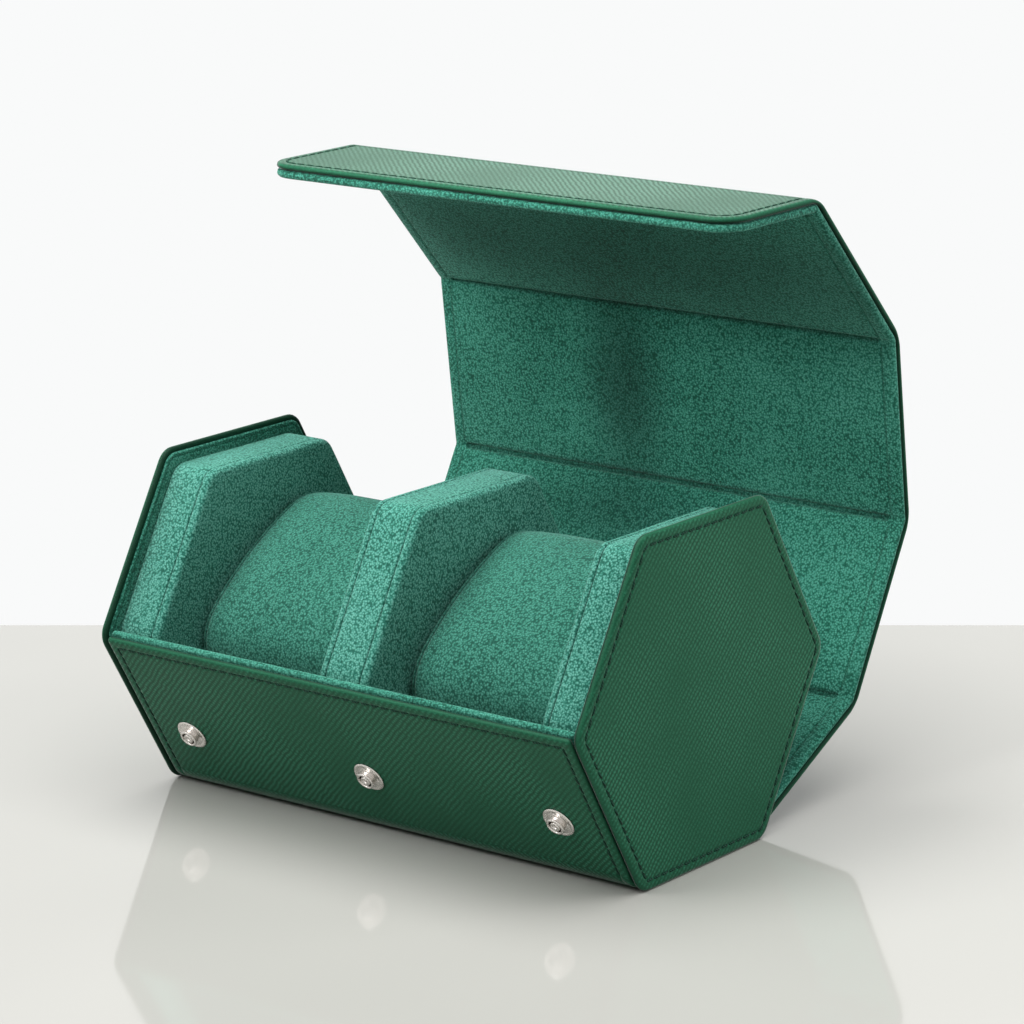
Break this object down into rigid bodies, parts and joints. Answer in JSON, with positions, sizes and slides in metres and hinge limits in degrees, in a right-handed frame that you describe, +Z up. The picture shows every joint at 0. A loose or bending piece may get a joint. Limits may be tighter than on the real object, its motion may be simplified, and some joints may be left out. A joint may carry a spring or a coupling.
{
  "type": "watch storage case",
  "caption": "Hexagonal leather watch roll with a folding wrap lid, press studs, padded dividers and removable watch cushions in suede-lined bays.",
  "frame": {"origin": "centre of the bottom panel's outer face, which the case stands on", "axes": "+Z up, +X along the case from the left cap to the right cap, -Y towards the front panel with the press studs"},
  "size_m": [0.168, 0.1587, 0.1726],
  "materials": {
    "leather": "satin",
    "suede": "matte",
    "board": "matte",
    "pad_core": "matte",
    "stuffing": "matte",
    "stud_metal": "gloss",
    "rivet_metal": "satin"
  },
  "bodies": {
    "case_body": {"left_cap_leather": "leather", "left_cap_board": "board", "left_cap_lining": "suede", "right_cap_leather": "leather", "right_cap_board": "board", "right_cap_lining": "suede", "front_leather": "leather", "front_board": "board", "front_lining": "suede", "front_binding": "suede", "bottom_leather": "leather", "bottom_board": "board", "bottom_lining": "suede", "front_base_fold": "leather", "rear_base_fold": "leather", "press_studs": "stud_metal", "stud_rivets": "rivet_metal", "left_pad_cover": "suede", "left_pad_core": "pad_core", "divider_cover": "suede", "divider_core": "pad_core", "right_pad_cover": "suede", "right_pad_core": "pad_core"},
    "rear_lower_panel": {"rear_lower_leather": "leather", "rear_lower_board": "board", "rear_lower_lining": "suede", "rear_middle_fold": "leather"},
    "rear_upper_panel": {"rear_upper_leather": "leather", "rear_upper_board": "board", "rear_upper_lining": "suede", "rear_top_fold": "leather"},
    "top_panel": {"top_leather": "leather", "top_board": "board", "top_lining": "suede", "front_top_fold": "leather"},
    "front_upper_panel": {"front_upper_leather": "leather", "front_upper_board": "board", "front_upper_lining": "suede", "flap_fold": "leather"},
    "flap": {"flap_leather": "leather", "flap_board": "board", "flap_lining": "suede", "stud_sockets": "stud_metal", "socket_springs": "rivet_metal", "socket_rivets": "rivet_metal"},
    "left_cushion": {"left_cushion_cover": "suede", "left_cushion_core": "stuffing"},
    "right_cushion": {"right_cushion_cover": "suede", "right_cushion_core": "stuffing"}
  },
  "joints": [
    {"name": "rear_base_fold", "type": "hinge", "parent": "case_body", "child": "rear_lower_panel", "pos_m": [0, 0.02728, 0.00125], "axis": [-1, 0, 0], "range_deg": [-33.3, 26.7]},
    {"name": "rear_middle_fold", "type": "hinge", "parent": "rear_lower_panel", "child": "rear_upper_panel", "pos_m": [0, 0.07602, 0.02576], "axis": [-1, 0, 0], "range_deg": [-25.5, 34.5]},
    {"name": "rear_top_fold", "type": "hinge", "parent": "rear_upper_panel", "child": "top_panel", "pos_m": [0, 0.1023, 0.07357], "axis": [-1, 0, 0], "range_deg": [-24.5, 35.5]},
    {"name": "front_top_fold", "type": "hinge", "parent": "top_panel", "child": "front_upper_panel", "pos_m": [0, 0.09594, 0.12776], "axis": [-1, 0, 0], "range_deg": [-20.47, 35.5]},
    {"name": "flap_fold", "type": "hinge", "parent": "front_upper_panel", "child": "flap", "pos_m": [0, 0.05638, 0.17138], "axis": [-1, 0, 0], "range_deg": [-16.13, 47.9]},
    {"name": "left_cushion_lift", "type": "slide", "parent": "case_body", "child": "left_cushion", "axis": [0, -0.5519, 0.8339], "range_m": [0, 0.075]},
    {"name": "right_cushion_lift", "type": "slide", "parent": "case_body", "child": "right_cushion", "axis": [0, -0.5519, 0.8339], "range_m": [0, 0.075]}
  ]
}
